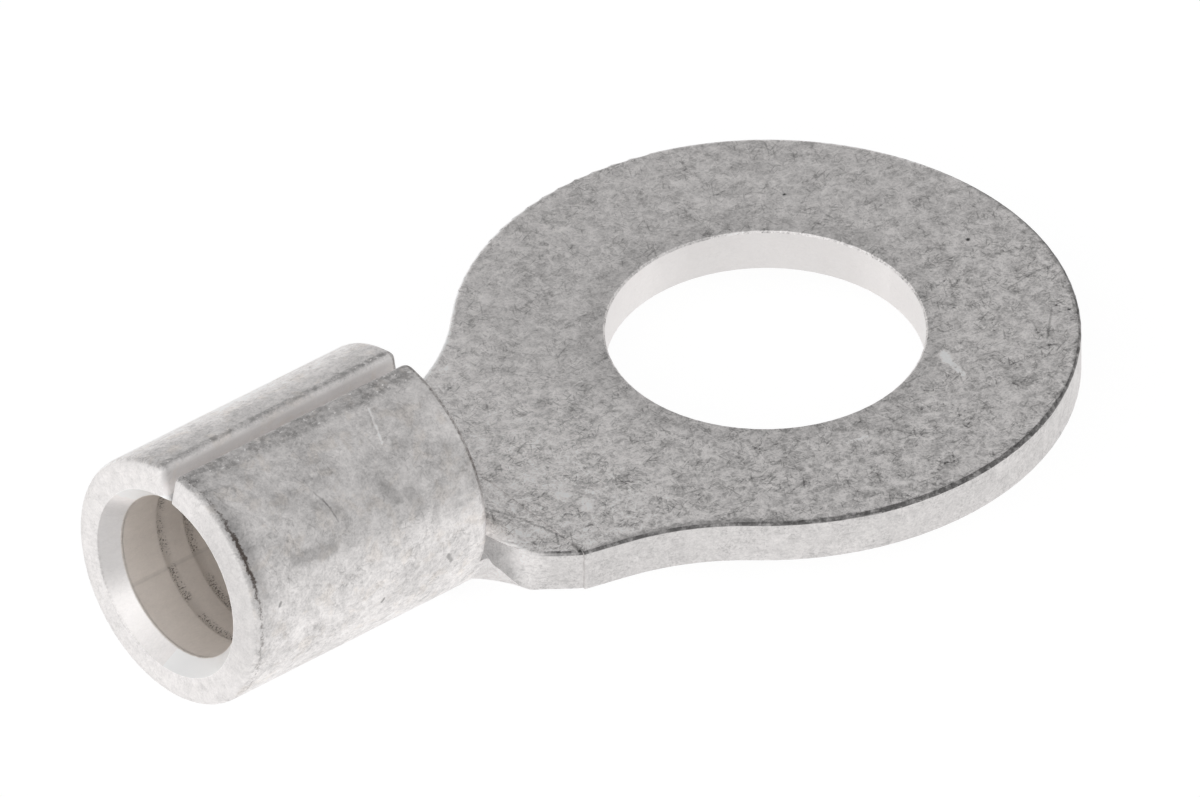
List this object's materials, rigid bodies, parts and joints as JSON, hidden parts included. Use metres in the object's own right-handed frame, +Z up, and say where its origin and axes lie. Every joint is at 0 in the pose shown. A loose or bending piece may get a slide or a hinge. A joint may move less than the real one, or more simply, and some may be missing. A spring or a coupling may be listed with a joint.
{
  "type": "ring terminal",
  "caption": "Non-insulated crimp ring terminal: flat ring with a stud hole on a short neck, rolled at the other end into an open-seam wire barrel with a flared mouth.",
  "frame": {"origin": "centre of the stud hole on the tongue's flat underside", "axes": "+Z up along the stud hole's axis, -X from the hole towards the wire barrel's mouth, +Y across the ring"},
  "size_m": [0.0284, 0.0164, 0.0069],
  "materials": {
    "tinned_copper": "matt tin plating over copper, tumbled, with fine scuffs"
  },
  "bodies": {
    "root": {"ring_terminal": "tinned_copper"}
  },
  "joints": []
}
